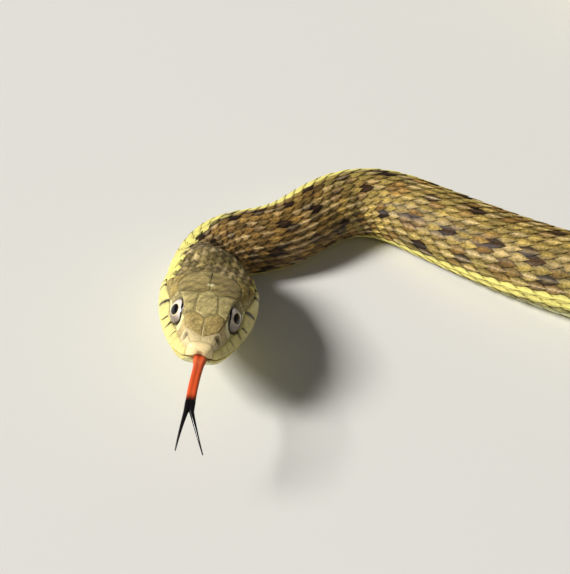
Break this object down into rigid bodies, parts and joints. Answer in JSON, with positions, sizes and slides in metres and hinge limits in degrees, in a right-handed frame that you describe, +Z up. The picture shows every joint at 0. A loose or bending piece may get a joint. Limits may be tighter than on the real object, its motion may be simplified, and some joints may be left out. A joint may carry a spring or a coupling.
{
  "type": "garter snake",
  "caption": "Life-size garter snake at rest in loose curves, head raised a little and forked tongue out; rests on its belly.",
  "frame": {"origin": "middle of the footprint's bounding box, on the floor", "axes": "+X from the head end toward the tail tip, +Y toward the snake's back end when it faces -Y, +Z up; the head looks along -Y"},
  "size_m": [0.3832, 0.242, 0.0161],
  "materials": {
    "head_shields": "satin olive-tan shields with dark seams",
    "jaw_shields": "satin pale cream",
    "eye": "wet, clear spectacle over a pale iris and round black pupil",
    "tongue_flesh": "moist, red with black tips",
    "body_scales": "satin keeled scales, olive brown with dark blotches and pale side stripes",
    "tail_scales": "satin keeled scales"
  },
  "bodies": {
    "root": {"head": "head_shields", "lower_jaw": "jaw_shields", "eye_left": "eye", "eye_right": "eye", "tongue": "tongue_flesh", "neck": "body_scales", "body_1": "body_scales", "body_2": "body_scales", "body_3": "body_scales", "body_4": "body_scales", "body_5": "body_scales", "body_6": "body_scales", "body_7": "body_scales", "body_8": "body_scales", "tail_1": "tail_scales", "tail_2": "tail_scales"}
  },
  "joints": []
}
